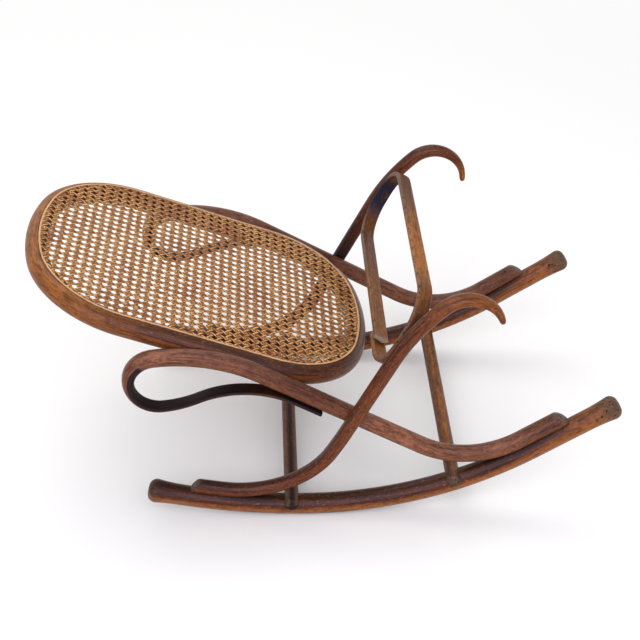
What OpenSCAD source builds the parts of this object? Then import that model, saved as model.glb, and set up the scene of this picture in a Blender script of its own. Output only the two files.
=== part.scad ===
// Rocking footstool of steam-bent wood with a cane seat.
// +Z is up, +X points to the hooks, Y = 0 is the middle plane, the floor is Z = 0.
// The stool stands at rest, balanced on the lowest point of both rockers.

/* [Stance] */
// Distance from the middle plane to the centre line of each rocker and rail
side_gap = 192; // [180:1:205]
// Where the front tip of the rocker's centre line lies
rocker_front = -224.8; // [-235:0.1:-215]

/* [Rockers] */
// Thickness of a rocker
rocker_d = 29; // [28:0.5:30]
// Thickness of the blunt knob at each end of a rocker
knob_d = 34; // [32:0.5:37]
// How far behind its widest part the knob starts to swell
knob_l = 32; // [20:1:34]
// Rounding of the knob's rim
knob_round = 11; // [6:0.5:14]
// Length of the shallow front stretch, which ends at the lowest point
rocker_run_1 = 215.2; // [208:0.2:222]
// Turn of the shallow front stretch, in degrees
rocker_turn_1 = 15.4; // [14.8:0.1:16]
// Length of the bent middle stretch
rocker_run_2 = 318.6; // [312:0.2:326]
// Turn of the bent middle stretch, in degrees
rocker_turn_2 = 33.2; // [32.6:0.1:33.8]
// Length of the straight rear stretch
rocker_run_3 = 114.1; // [110:0.1:125]

/* [Seat rails] */
// Thickness of a seat rail
rail_d = 24; // [23:0.5:25]
// Distance from the rear end of the rocker to the rail's cut end
rail_back = 44; // [42:0.2:50]
// Length of the rail's straight foot on the rocker
rail_run_1 = 80.4; // [74:0.2:86]
// Length of the bend that lifts the rail off the rocker
rail_run_2 = 141.4; // [139:0.2:144]
// Turn of that bend, in degrees
rail_turn_2 = 63.3; // [62.6:0.1:64]
// Length of the straight stretch under the seat
rail_run_3 = 246.6; // [243:0.2:250]
// Length of the bend beside the seat
rail_run_4 = 141; // [138:0.5:144]
// Turn of that bend, in degrees
rail_turn_4 = 35.2; // [34:0.1:36]
// Slant of the rail's cut end, in degrees
rail_slant = 30; // [20:1:40]
// Radius of the curl at the front of the rail
curl_r = 39; // [37:0.5:41]
// Thickness of the strap that the curl thins down to
strap_t = 6; // [5:0.5:7]
// Width of that strap
strap_w = 23; // [20:0.5:23.5]
// Radius of the strap's rise behind the curl
strap_rise_r = 150; // [140:1:160]
// Radius of the strap's bend towards the rail
strap_lay_r = 138; // [130:1:145]
// Length of the strap that lies flat under the rail
strap_lap = 42; // [36:1:48]

/* [Hook legs] */
// Thickness of a hook leg
leg_d = 20; // [19:0.5:20.5]
// How far each hook stands outside its rocker
leg_splay = 16.5; // [15:0.1:18]
// Distance along the rocker from its front tip to the leg's cut end
leg_start = 34.4; // [33:0.2:42]
// Length of the leg's straight foot on the rocker
leg_run_1 = 47.4; // [44:0.2:52]
// Slant of the leg's cut end, in degrees
leg_slant = 35; // [25:1:45]
// Length of the bend over the rocker
leg_run_2 = 181.8; // [178:0.2:186]
// Turn of that bend, in degrees
leg_turn_2 = 73.6; // [72.8:0.1:74.2]
// Radius of the sideways bend that sets the hook upright
leg_side_r = 330; // [280:5:380]
// Length of the straight stretch up to the hook
leg_run_3 = 127.4; // [122:0.2:132]
// Length of the slack bend under the hook
leg_run_4 = 100.6; // [95:0.2:106]
// Turn of that bend, in degrees
leg_turn_4 = 20.7; // [19:0.1:22]
// Radius of the hook
hook_r = 46.2; // [43:0.2:49]
// Turn of the right hook, in degrees
hook_turn = 138.7; // [130:0.1:145]
// Turn of the left hook, worn shorter than the right one
left_hook_turn = 120; // [112:0.1:145]
// Thickness of the hook's tip
hook_tip = 8; // [7:0.5:10]

/* [Rungs] */
// Thickness of a rung
rung_d = 20; // [19:0.5:21]
// How far a rung runs past the centre line of the rocker
rung_over = 18; // [17:0.5:22]
// Height of a rung's centre line over that of the rocker
rung_rise = 10; // [9:0.5:11]
// Distance along the rocker's front stretch to the front rung
front_rung_at = 183.3; // [176:0.1:190]
// Distance along the rocker's middle stretch to the rear rung
rear_rung_at = 200; // [192:0.5:208]
// Slant cut around a rung's ends
rung_edge = 2.5; // [1.5:0.5:4]

/* [Seat] */
// Length of the caned opening, measured along the seat
seat_l = 466.6; // [458:0.2:474]
// Slope of the seat, in degrees
seat_tilt = 20.83; // [20:0.01:21.5]
// Thickness of the seat ring
ring_d = 31; // [30:0.5:32]
// How deep the flats between the ring and the rails go, in all
ring_bite = 2.8; // [2.4:0.1:3.4]
// Radius of the ring's corners
corner_r = 125; // [118:1:130]
// Radius of the ring's ends
end_r = 305; // [290:1:330]
// Distance along the rail's bend to the point where it holds the ring
ring_hold_at = 43; // [36:1:50]
// Distance from the ring's middle back to the point where it is held
ring_ahead = 47; // [43:1:51]
// How far the ring's centre line lies below the rail's there
ring_below = 4.4; // [3:0.1:5.5]
// Depth of the ledge around the ring for the cane
ledge = 1.4; // [1.2:0.1:1.8]
// Thickness of the cane net
cane_t = 1.2; // [1:0.1:1.4]
// Distance between the strands of the net
cane_pitch = 25.4; // [24:0.1:30]
// Width of a strand of the net
cane_strand = 5; // [4:0.1:7]
// Width of the binding strip around the cane
binder_w = 3.2; // [2.6:0.1:4]
// Thickness of the binding strip
binder_t = 2; // [1.6:0.1:2.4]

/* [Brace hoop] */
// Width of the hoop's strap
hoop_w = 20.3; // [18:0.1:22]
// Thickness of the hoop's strap
hoop_t = 8; // [7.5:0.1:8.5]
// Outer width of the hoop, measured along the hooks
hoop_l = 120; // [112:1:126]
// Radius of the hoop's corners, at the middle of the strap
hoop_r = 48; // [44:1:50]
// Distance along the leg's straight stretch to the hoop's middle
hoop_at = 156; // [150:0.2:162]
// Length of the hoop's overlap past its last corner
hoop_lap = 44; // [36:1:55]
// How far the hoop's middle hangs under the leg's straight line
hoop_off = 3.5; // [2:0.1:4]

/* [Fixings] */
// Thickness of a wood screw
screw_d = 4; // [3.5:0.1:4.5]
// Width of a screw's head
head_d = 7.5; // [7:0.1:8]
// Depth of a screw's head
head_h = 2.2; // [1.8:0.1:2.6]
// How deep a screw's head lies under the crest of the wood
head_sink = 1.6; // [1:0.1:2]
// Distance between the two screws that hold the ring on each side
ring_screw_gap = 64; // [56:1:70]
// Clearance around anything that passes through wood
slack = 0.3; // [0.2:0.05:0.4]

/* [Hidden] */

roundness = 48;
bend_roundness = 360;
screw_roundness = 24;
far = 900;
joint_gap = 0.25;
joint_over = 0.1;
joint_l = 2;
wood_dark = [0.33, 0.15, 0.09];
wood_mid = [0.42, 0.21, 0.11];
wood_light = [0.55, 0.31, 0.14];
cane_tone = [0.80, 0.58, 0.30];
binder_tone = [0.72, 0.53, 0.33];
iron = [0.22, 0.21, 0.22];

// ---- positions along bent runs: [along, up, heading], steps are [length, turn] ----
function bend_radius(s) = s[0] / (s[1] * PI / 180);
function step_along(s) = s[1] == 0 ? s[0] : bend_radius(s) * sin(s[1]);
function step_up(s) = s[1] == 0 ? 0 : bend_radius(s) * (1 - cos(s[1]));
function shifted(p, a, b) = [
  p[0] + a * cos(p[2]) - b * sin(p[2]),
  p[1] + a * sin(p[2]) + b * cos(p[2]),
  p[2]];
function after_step(p, s) =
  let (q = shifted(p, step_along(s), step_up(s))) [q[0], q[1], p[2] + s[1]];
function run_end(p, steps, i = 0) =
  i == len(steps) ? p : run_end(after_step(p, steps[i]), steps, i + 1);
// the part of a step that is `run` long
function part_of(s, run) = [run, s[1] * run / s[0]];
function turned(p, a) = [p[0], p[1], p[2] + a];

// ---- rocker ----
rocker_1 = [rocker_run_1, rocker_turn_1];
rocker_2 = [rocker_run_2, rocker_turn_2];
// the stool balances where the two stretches meet, and touches the floor there
rocker_up = rocker_d / 2 + joint_over / 2 + bend_radius(rocker_1) * (1 - cos(rocker_turn_1));
rocker_tip = [rocker_front, rocker_up, -rocker_turn_1];
rocker_steps = [rocker_1, rocker_2, [rocker_run_3, 0]];
rocker_knee = after_step(rocker_tip, rocker_1);
rocker_rear = run_end(rocker_tip, rocker_steps);

// ---- seat rail, from its rear end forwards ----
rail_lap = 1.7;
rail_flat = rail_run_1 + 2 * rail_d;
rail_off = rocker_d / 2 + rail_d / 2 - 2 * rail_lap;
rail_tip = turned(shifted(rocker_rear, -rail_back, rail_off), 180);
rail_2 = [rail_run_2, -rail_turn_2];
rail_4 = [rail_run_4, rail_turn_4];
curl_lead = 4;
rail_steps = [[rail_run_1, 0], rail_2, [rail_run_3, 0], rail_4];
rail_bend_start = after_step(rail_tip, [rail_run_1, 0]);
rail_mid = after_step(rail_bend_start, rail_2);
rail_bend = after_step(rail_mid, [rail_run_3, 0]);
rail_turned = run_end(rail_tip, rail_steps);
rail_end = shifted(rail_turned, curl_lead, 0);
// a point on the rail, `run` past the start of its bend beside the seat
function rail_at(run) =
  run < 0 ? shifted(rail_bend, run, 0) : after_step(rail_bend, part_of(rail_4, run));
strap_start = turned(shifted(rail_end, 0, 2 * curl_r), 180);

// the strap's rise and fall are found so that it ends flat under the rail
strap_bite = 0.25;
strap_heading = rail_mid[2] - 180;
strap_off = rail_d / 2 - strap_bite + strap_t / 2;
strap_fall = (rail_mid[1] - strap_start[1]) * cos(strap_heading)
  - (rail_mid[0] - strap_start[0]) * sin(strap_heading) - strap_off;
strap_lead = strap_start[2] - 360 - strap_heading;
strap_peak = acos((strap_rise_r * cos(strap_lead) + strap_lay_r - strap_fall)
  / (strap_rise_r + strap_lay_r));
strap_turn_1 = strap_peak - strap_lead;
strap_steps = [
  [strap_rise_r * strap_turn_1 * PI / 180, strap_turn_1],
  [strap_lay_r * strap_peak * PI / 180, -strap_peak],
  [strap_lap, 0]];
strap_flat = run_end(strap_start, [strap_steps[0], strap_steps[1]]);

// ---- hook leg ----
leg_lap = 2.1;
leg_flat = leg_run_1 + 3 * leg_d;
leg_off = rocker_d / 2 + leg_d / 2 - 2 * leg_lap;
leg_seat = after_step(rocker_tip, part_of(rocker_1, leg_start + leg_run_1 / 2));
leg_tip = shifted(leg_seat, -leg_run_1 / 2, leg_off);
leg_arc_r = leg_run_2 / (leg_turn_2 * PI / 180);
leg_reach = leg_arc_r * (1 - cos(leg_turn_2));
leg_need = leg_side_r - leg_splay;
leg_square = pow(leg_reach, 2) + pow(leg_side_r * sin(leg_turn_2), 2);
leg_lean_sin = (-leg_reach * leg_need + sqrt(pow(leg_reach * leg_need, 2)
  - leg_square * (pow(leg_need, 2) - pow(leg_side_r, 2)))) / leg_square;
leg_lean = asin(leg_lean_sin);
leg_side_turn = asin(sin(leg_turn_2) * leg_lean_sin);
leg_rise = atan2(sin(leg_turn_2) * cos(leg_lean), cos(leg_turn_2));
leg_ankle = turned(shifted(after_step(leg_tip, [leg_run_1, 0]),
  leg_arc_r * sin(leg_turn_2), leg_reach * cos(leg_lean)), leg_rise);
leg_knee = shifted(leg_ankle, leg_side_r * sin(leg_side_turn), 0);
leg_y = side_gap + leg_splay;
leg_4 = [leg_run_4, -leg_turn_4];
hook_start = run_end(leg_knee, [[leg_run_3, 0], leg_4]);

// ---- where rail and leg cross ----
cross_bite = 2.5;
cross_y = side_gap + rail_d / 2 - cross_bite;
cross_run = ((leg_knee[0] - rail_mid[0]) * sin(leg_knee[2])
  - (leg_knee[1] - rail_mid[1]) * cos(leg_knee[2])) / sin(leg_knee[2] - rail_mid[2]);
cross = shifted(rail_mid, cross_run, 0);

// ---- seat ----
seat_hold = rail_at(ring_hold_at);
ring_mid = shifted([seat_hold[0], seat_hold[1], -seat_tilt], -ring_ahead, -ring_below);
half_w = side_gap - rail_d / 2 - ring_d / 2 + ring_bite;
half_l = seat_l / 2;
// the rail's flat takes a third of the bite, the ring's the rest
ring_y = side_gap - rail_d / 2 + ring_bite / 3;
corner_y = half_w - corner_r;
end_x = half_l - end_r;
end_span = asin(corner_y / (end_r - corner_r));
corner_x = end_x + (end_r - corner_r) * cos(end_span);
ledge_up = ring_d / 2 - ledge;

// ---- hoop ----
hoop_bite = 0.5;
hoop_half = leg_y - leg_d / 2 + hoop_bite;
hoop_mid = shifted(leg_knee, hoop_at, -hoop_off);
hoop_top = hoop_l / 2 - hoop_t / 2;
hoop_low = hoop_top + hoop_t;
hoop_side = hoop_half - hoop_t / 2;
// the hoop's runs in its own plane: x across the stool, y along the hooks
hoop_steps = [
  [2 * (hoop_side - hoop_r), 0],
  [hoop_r * PI / 2, 90],
  [2 * (hoop_top - hoop_r), 0],
  [hoop_r * PI / 2, 90],
  [2 * (hoop_side - hoop_r), 0],
  [hoop_r * PI / 2, 90],
  [hoop_top + hoop_low - 2 * hoop_r, 0],
  [hoop_r * PI / 2, 90],
  [hoop_lap, 0]];
hoop_start = [-(hoop_side - hoop_r), -hoop_top, 0];

// ---- shared building blocks ----
module rod(d) circle(d = d, $fn = roundness);

module one_bend(s) {
  if (s[1] == 0) {
    rotate([90, 0, 90]) linear_extrude(s[0]) children();
  } else if (s[1] > 0) {
    left_bend(bend_radius(s), s[1]) children();
  } else {
    mirror([0, 1, 0]) left_bend(-bend_radius(s), -s[1]) children();
  }
}

module left_bend(r, turn) {
  translate([0, r, 0]) rotate([0, 0, -90])
    rotate_extrude(angle = turn, $fn = bend_roundness) translate([r, 0]) children();
}

// a section, the first child, carried along steps of [length, turn], with a small
// swelling, the second child, that closes each joint between two steps
module bent_run(p, steps, joined = false, i = 0) {
  if (i < len(steps)) {
    if (i > 0 || joined) {
      at_point(p) children(1);
      at_point(p) joined_bend(steps[i]) children(0);
    } else {
      at_point(p) one_bend(steps[i]) children(0);
    }
    bent_run(after_step(p, steps[i]), steps, joined, i + 1) {
      children(0);
      children(1);
    }
  }
}

// a step that starts just past its joint, inside the swelling
module joined_bend(s) {
  at_point(after_step([0, 0, 0], part_of(s, joint_gap)))
    one_bend(part_of(s, s[0] - joint_gap)) children();
}

module rod_run(p, steps, d, joined = false) {
  bent_run(p, steps, joined) {
    rod(d);
    rod_joint(d);
  }
}

module strap_run(p, steps, t, w, joined = false) {
  bent_run(p, steps, joined) {
    square([t, w], center = true);
    strap_joint(t, w);
  }
}

module rod_joint(d) {
  rotate([0, 90, 0]) cylinder(d = d + joint_over, h = joint_l, center = true, $fn = roundness);
}
module strap_joint(t, w) {
  cube([joint_l, t + joint_over, w + joint_over], center = true);
}

module at_point(p) translate([p[0], p[1], 0]) rotate([0, 0, p[2]]) children();

// a round rod that bends left and thins to `tip` on the way
module thinning_curl(r, turn, d, tip) {
  shift = (d - tip) / 2 / (1 - cos(turn));
  skin = 0.3;
  translate([0, r, 0]) rotate([0, 0, -90]) intersection() {
    rotate_extrude(angle = turn, $fn = bend_roundness / 3) translate([r, 0]) rod(d);
    translate([0, 0, -d]) linear_extrude(2 * d) difference() {
      translate([shift, 0]) circle(r + d / 2 - shift - skin, $fn = 2 * roundness);
      translate([-shift, 0]) circle(r - d / 2 + shift + skin, $fn = 2 * roundness);
    }
  }
}

// from the drawing plane (along, up, outwards) to the left side of the stool
module on_left() translate([0, -side_gap, 0]) rotate([90, 0, 0]) children();
module on_right() mirror([0, 1, 0]) on_left() children();
module on_both() {
  on_left() children();
  on_right() children();
}

// everything below the line through p and ahead of it for `run`
module below(p, run, back = 0) {
  at_point(p) translate([-back, -far, -far / 2]) cube([run + back, far, far]);
}
module above(p, run, back = 0) {
  at_point(p) translate([-back, 0, -far / 2]) cube([run + back, far, far]);
}

// a screw along -Z with the top of its head at the origin, and the hole it sits in
tip_room = 1;
head_way = 9;
module screw(l) {
  translate([0, 0, -l]) cylinder(d = screw_d, h = l - head_h / 2, $fn = screw_roundness);
  translate([0, 0, -head_h]) cylinder(d = head_d, h = head_h, $fn = screw_roundness);
}
module screw_hole(l) {
  translate([0, 0, -l - tip_room])
    cylinder(d = screw_d + 2 * slack, h = l + tip_room, $fn = screw_roundness);
  translate([0, 0, -head_h])
    cylinder(d = head_d + 2 * slack, h = head_h + head_way, $fn = screw_roundness);
}

// ---- where the screws sit, on the left side ----
// head over the run at p, `lift` from its centre line
module down_at(p, lift) {
  at_point(p) translate([0, lift, 0]) rotate([-90, 0, 0]) children();
}
// head under the run at p
module up_at(p, lift) {
  at_point(p) translate([0, -lift, 0]) rotate([90, 0, 0]) children();
}
// head on the inner side, towards the middle of the stool
module inside_at(p, lift) translate([p[0], p[1], -lift]) rotate([180, 0, 0]) children();

rocker_head = rocker_d / 2 - head_sink;

rail_screw_lift = rail_off + rocker_head;
quarter_spots = [0.25, 0.75];
rail_screw_spots = [for (k = quarter_spots) shifted(rail_tip, rail_run_1 * k, 0)];
rail_screw_l = rail_screw_lift + rail_d / 4;
module at_rail_screws() {
  for (p = rail_screw_spots) up_at(turned(p, 180), rail_screw_lift) children();
}

leg_screw_lift = leg_off + rocker_head;
leg_spots = [0.35, 1];
leg_screw_spots = [for (k = leg_spots) shifted(leg_tip, leg_run_1 * k, 0)];
leg_screw_l = leg_screw_lift + leg_d / 4;
module at_leg_screws() {
  for (p = leg_screw_spots) up_at(p, leg_screw_lift) children();
}

front_rung_spot = after_step(rocker_tip, part_of(rocker_1, front_rung_at));
rear_rung_spot = after_step(rocker_knee, part_of(rocker_2, rear_rung_at));
rung_screw_lift = rung_rise + rung_d / 2 - head_sink;
rung_screw_l = rung_screw_lift + rocker_d / 4;
module at_rung_screw(p) down_at(p, rung_screw_lift) children();

cross_screw_lift = rail_d / 2 - head_sink;
cross_screw_l = cross_screw_lift + leg_splay + leg_d / 4;
module at_cross_screw() inside_at(cross, cross_screw_lift) children();

ring_screw_lift = side_gap - half_w + ring_d / 2 - head_sink;
ring_screw_shift = -3;
ring_screw_l = ring_screw_lift + rail_d / 4;
ring_screw_spots = [rail_at(ring_hold_at + ring_screw_shift - ring_screw_gap / 2),
  rail_at(ring_hold_at + ring_screw_shift + ring_screw_gap / 2)];
module at_ring_screws() {
  for (p = ring_screw_spots) inside_at(p, ring_screw_lift) children();
}

strap_screw_sink = 0.2;
strap_screw_spots = [for (k = quarter_spots) shifted(strap_flat, strap_lap * k, 0)];
strap_screw_lift = strap_t / 2 - strap_screw_sink;
strap_screw_l = strap_t / 2 + strap_screw_lift + rail_d / 2;
module at_strap_screws() {
  for (p = strap_screw_spots) {
    at_point(p) translate([0, -strap_screw_lift, 0]) rotate([90, 0, 0]) children();
  }
}

hoop_screw_sink = 0.2;
hoop_screw_l = hoop_t + leg_d / 2;
// head on the inner face of the hoop's short side
module at_hoop_screw() {
  translate([hoop_mid[0], hoop_mid[1], hoop_half - hoop_t + hoop_screw_sink - side_gap])
    rotate([180, 0, 0]) children();
}

// ---- pieces ----
knob_sink = 0.8;
// a slow swelling out of the rod, with a blunt end and a rounded rim
module knob() {
  rim = knob_d / 2;
  rotate([0, 90, 0]) rotate_extrude($fn = roundness) {
    polygon([[0, -knob_l], [rocker_d / 2 - knob_sink, -knob_l], [rim, rim - knob_round],
      [rim - knob_round, rim - knob_round], [rim - knob_round, rim], [0, rim]]);
    translate([rim - knob_round, rim - knob_round]) intersection() {
      circle(knob_round, $fn = roundness);
      square(knob_round);
    }
  }
}

module rocker_wood() {
  difference() {
    union() {
      rod_run(rocker_tip, rocker_steps, rocker_d);
      at_point(turned(rocker_tip, 180)) knob();
      at_point(rocker_rear) knob();
    }
    // flats for the rail's foot and the leg's foot
    above(shifted(rocker_rear, -rail_back + slack, rocker_d / 2 - rail_lap), 0, rail_flat);
    above(shifted(leg_seat, -leg_run_1 / 2, rocker_d / 2 - leg_lap), leg_flat, leg_d / 2);
    for (p = [front_rung_spot, rear_rung_spot]) rung_notch(p);
    at_rail_screws() screw_hole(rail_screw_l);
    at_leg_screws() screw_hole(leg_screw_l);
    for (p = [front_rung_spot, rear_rung_spot]) at_rung_screw(p) screw_hole(rung_screw_l);
  }
}

// open-topped notch that a rung drops into
module rung_notch(p) {
  at_point(p) translate([0, rung_rise, 0]) {
    cylinder(d = rung_d + 2 * slack, h = 4 * rocker_d, center = true, $fn = roundness);
    translate([-rung_d / 2 - slack, 0, -2 * rocker_d])
      cube([rung_d + 2 * slack, rocker_d, 4 * rocker_d]);
  }
}

module left_rocker() color(wood_dark) on_left() rocker_wood();
module right_rocker() color(wood_dark) on_right() rocker_wood();

module rail_wood() {
  difference() {
    union() {
      rod_run(rail_tip, rail_steps, rail_d);
      at_point(rail_turned) {
        rod_joint(rail_d);
        joined_bend([curl_lead - joint_gap, 0]) rod(rail_d);
      }
      at_point(rail_end) {
        rod_joint(rail_d);
        thinning_curl(curl_r, 180, rail_d, strap_t);
      }
      strap_run(strap_start, strap_steps, strap_t, strap_w, joined = true);
    }
    // foot flat, slanted end, flat for the ring, notch for the leg, flat for the strap
    above(shifted(rail_tip, 0, rail_d / 2 - rail_lap), rail_flat, rail_d);
    at_point(shifted(rail_tip, rail_d / 2, 0)) rotate([0, 0, rail_slant])
      translate([-far, -far / 2, -far / 2]) cube([far, far, far]);
    inside_cut(seat_hold, seat_hold[2] + 90, 2 * corner_x, ring_y - side_gap);
    outside_cut(cross, leg_knee[2], leg_d + 2 * slack, cross_y - side_gap);
    strap_relief();
    at_rail_screws() screw_hole(rail_screw_l);
    at_cross_screw() screw_hole(cross_screw_l);
    at_ring_screws() screw_hole(ring_screw_l);
    at_strap_screws() screw_hole(strap_screw_l);
  }
}

// removes what lies outside `depth`, over a width of w around a crossing run
module outside_cut(p, heading, w, depth) {
  translate([p[0], p[1], depth]) rotate([0, 0, heading])
    translate([-far / 4, -w / 2, 0]) cube([far / 2, w, far / 4]);
}

module strap_relief() {
  at_point(shifted(strap_flat, 0, strap_t / 2)) translate([-rail_d, 0, -rail_d])
    cube([strap_lap + 2 * rail_d, strap_bite, 2 * rail_d]);
}

module left_seat_rail() color(wood_mid) on_left() rail_wood();
module right_seat_rail() color(wood_mid) on_right() rail_wood();

module leg_wood(turn) {
  difference() {
    union() {
      at_point(leg_tip) rotate([leg_lean, 0, 0])
        rod_run([0, 0, 0], [[leg_run_1, 0], [leg_run_2, leg_turn_2]], leg_d);
      leg_side_bend();
      translate([0, 0, leg_splay]) {
        rod_run(leg_knee, [[leg_run_3, 0], part_of(leg_4, leg_run_4 - joint_gap)], leg_d, true);
        at_point(hook_start) {
          rod_joint(leg_d);
          mirror([0, 1, 0]) thinning_curl(hook_r, turn, leg_d, hook_tip);
        }
      }
    }
    // foot flat, slanted end, notch for the rail, flat for the hoop
    below(shifted(leg_tip, 0, -leg_d / 2 + leg_lap), leg_flat, leg_d);
    at_point(shifted(leg_tip, leg_d / 2, 0)) rotate([0, 0, -leg_slant])
      translate([-far, -far / 2, -far / 2]) cube([far, far, far]);
    inside_cut(cross, rail_mid[2], rail_d + 2 * slack, cross_y - side_gap);
    inside_cut(hoop_mid, leg_knee[2] + 90, hoop_l + leg_d, hoop_half + joint_over - side_gap);
    at_leg_screws() screw_hole(leg_screw_l);
    at_cross_screw() screw_hole(cross_screw_l);
    at_hoop_screw() screw_hole(hoop_screw_l);
  }
}

// the leg turns sideways here until the hook stands parallel to the rocker
module leg_side_bend() {
  at_point(leg_ankle) translate([0, 0, leg_splay - leg_side_r * (1 - cos(leg_side_turn))])
    rotate([90, 0, 0]) rod_run([0, 0, leg_side_turn],
      [[leg_side_r * leg_side_turn * PI / 180, -leg_side_turn]], leg_d, true);
}

module inside_cut(p, heading, w, depth) {
  translate([p[0], p[1], depth]) rotate([0, 0, heading])
    translate([-far / 4, -w / 2, -far / 4]) cube([far / 2, w, far / 4]);
}

module left_hook_leg() color(wood_dark) on_left() leg_wood(left_hook_turn);
module right_hook_leg() color(wood_dark) on_right() leg_wood(hook_turn);

module rung(p) {
  half = side_gap + rung_over;
  spot = shifted(p, 0, rung_rise);
  difference() {
    translate([spot[0], 0, spot[1]]) rotate([90, 0, 0]) union() {
      cylinder(d = rung_d, h = 2 * (half - rung_edge), center = true, $fn = roundness);
      for (s = [0, 1]) mirror([0, 0, s]) translate([0, 0, half - rung_edge])
        cylinder(d1 = rung_d, d2 = rung_d - 2 * rung_edge, h = rung_edge, $fn = roundness);
    }
    on_both() at_rung_screw(p) screw_hole(rung_screw_l);
  }
}

module front_rung() color(wood_mid) rung(front_rung_spot);
module rear_rung() color(wood_mid) rung(rear_rung_spot);

// from the seat's own plane (along, across, up) to its place in the stool
module in_seat() translate([ring_mid[0], 0, ring_mid[1]]) rotate([0, seat_tilt, 0]) children();

// the caned outline, moved outwards by `out`
module seat_outline(out) {
  r = end_r + out;
  w = half_w + out;
  for (s = [0, 1]) mirror([s, 0]) intersection() {
    translate([end_x, 0]) circle(r, $fn = bend_roundness);
    translate([corner_x, -w]) square([r, 2 * w]);
    seat_wedge();
  }
  square([2 * corner_x, 2 * w], center = true);
  for (sx = [-1, 1], sy = [-1, 1]) translate([sx * corner_x, sy * corner_y])
    circle(corner_r + out, $fn = bend_roundness / 2);
}

// the part of the plan that the end arcs bound
module seat_wedge() {
  reach = 2 * end_r;
  polygon([[end_x, 0], [end_x + reach * cos(end_span), -reach * sin(end_span)],
    [end_x + reach, 0], [end_x + reach * cos(end_span), reach * sin(end_span)]]);
}

module ring_run() {
  // one side, one corner and one end, carried round the seat
  for (s = [0, 1]) rotate([0, 0, 180 * s]) {
    rod_run([-corner_x, -half_w, 0], [
      [2 * corner_x, 0],
      [corner_r * (90 - end_span) * PI / 180, 90 - end_span],
      [end_r * 2 * end_span * PI / 180, 2 * end_span],
      [corner_r * (90 - end_span) * PI / 180, 90 - end_span]], ring_d, true);
  }
}

module seat_ring() {
  color(wood_mid) difference() {
    in_seat() difference() {
      ring_run();
      translate([-far / 2, -far / 2, ledge_up]) cube([far, far, far]);
      for (s = [-1, 1]) translate([0, s * (ring_y + far / 2), 0])
        cube([far, far, far], center = true);
    }
    on_both() at_ring_screws() screw_hole(ring_screw_l);
  }
}

module cane_web() {
  across = ceil(half_w / cane_pitch);
  along = ceil(half_l / cane_pitch);
  color(cane_tone) in_seat() translate([0, 0, ledge_up]) linear_extrude(cane_t)
    intersection() {
      seat_outline(-binder_w / 2 - slack);
      union() {
        for (i = [-across : across]) translate([0, i * cane_pitch])
          square([2 * half_l, cane_strand], center = true);
        for (i = [-along : along]) translate([i * cane_pitch, 0])
          square([cane_strand, 2 * half_w], center = true);
        difference() {
          seat_outline(-binder_w / 2 - slack);
          seat_outline(-binder_w / 2 - slack - cane_strand);
        }
      }
    }
}

module cane_binder() {
  color(binder_tone) in_seat() translate([0, 0, ledge_up]) linear_extrude(binder_t)
    difference() {
      seat_outline(binder_w / 2);
      seat_outline(-binder_w / 2);
    }
}

module brace_hoop() {
  color(wood_light) difference() {
    translate([hoop_mid[0], 0, hoop_mid[1]]) rotate([0, -leg_knee[2], 0])
      rotate([0, 0, 90]) mirror([0, 1, 0])
        strap_run(hoop_start, hoop_steps, hoop_t, hoop_w);
    on_both() at_hoop_screw() screw_hole(hoop_screw_l);
  }
}

// ---- fixings ----
module rail_foot_screws() color(iron) on_both() at_rail_screws() screw(rail_screw_l);
module leg_foot_screws() color(iron) on_both() at_leg_screws() screw(leg_screw_l);
module rung_screws() {
  color(iron) on_both() {
    for (p = [front_rung_spot, rear_rung_spot]) at_rung_screw(p) screw(rung_screw_l);
  }
}
module crossing_screws() color(iron) on_both() at_cross_screw() screw(cross_screw_l);
module strap_screws() color(iron) on_both() at_strap_screws() screw(strap_screw_l);
module ring_screws() color(iron) on_both() at_ring_screws() screw(ring_screw_l);
module hoop_screws() color(iron) on_both() at_hoop_screw() screw(hoop_screw_l);

left_rocker();
right_rocker();
left_seat_rail();
right_seat_rail();
left_hook_leg();
right_hook_leg();
front_rung();
rear_rung();
seat_ring();
cane_web();
cane_binder();
brace_hoop();
rail_foot_screws();
leg_foot_screws();
rung_screws();
crossing_screws();
strap_screws();
ring_screws();
hoop_screws();
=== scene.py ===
import bpy
import bmesh
import math
from mathutils import Matrix, Vector, noise


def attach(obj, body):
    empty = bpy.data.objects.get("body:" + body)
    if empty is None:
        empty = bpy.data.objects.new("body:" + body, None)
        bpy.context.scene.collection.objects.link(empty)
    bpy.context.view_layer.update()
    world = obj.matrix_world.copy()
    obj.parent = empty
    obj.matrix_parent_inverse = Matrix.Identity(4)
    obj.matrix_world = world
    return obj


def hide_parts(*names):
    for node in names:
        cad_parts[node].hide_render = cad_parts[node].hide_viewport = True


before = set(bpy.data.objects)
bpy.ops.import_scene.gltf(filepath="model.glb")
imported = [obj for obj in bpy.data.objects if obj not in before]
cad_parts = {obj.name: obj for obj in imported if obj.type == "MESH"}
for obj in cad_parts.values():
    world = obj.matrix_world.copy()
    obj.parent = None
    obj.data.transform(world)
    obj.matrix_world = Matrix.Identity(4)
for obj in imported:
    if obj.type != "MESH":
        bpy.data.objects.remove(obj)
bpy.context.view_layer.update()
mm = 0.001


# a place is (x, z, heading) in a side plane, and a step is (length, turn), in millimetres and degrees
def shifted(p, a, b):
    x, z, h = p
    return (x + a * math.cos(h) - b * math.sin(h), z + a * math.sin(h) + b * math.cos(h), h)


def afterStep(p, step):
    length, angle = step[0], math.radians(step[1])
    if angle == 0:
        return shifted(p, length, 0)
    radius = length / angle
    x, z, heading = shifted(p, radius * math.sin(angle), radius * (1 - math.cos(angle)))
    return (x, z, heading + angle)


def partOf(step, run):
    return (run, step[1] * run / step[0])


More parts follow.
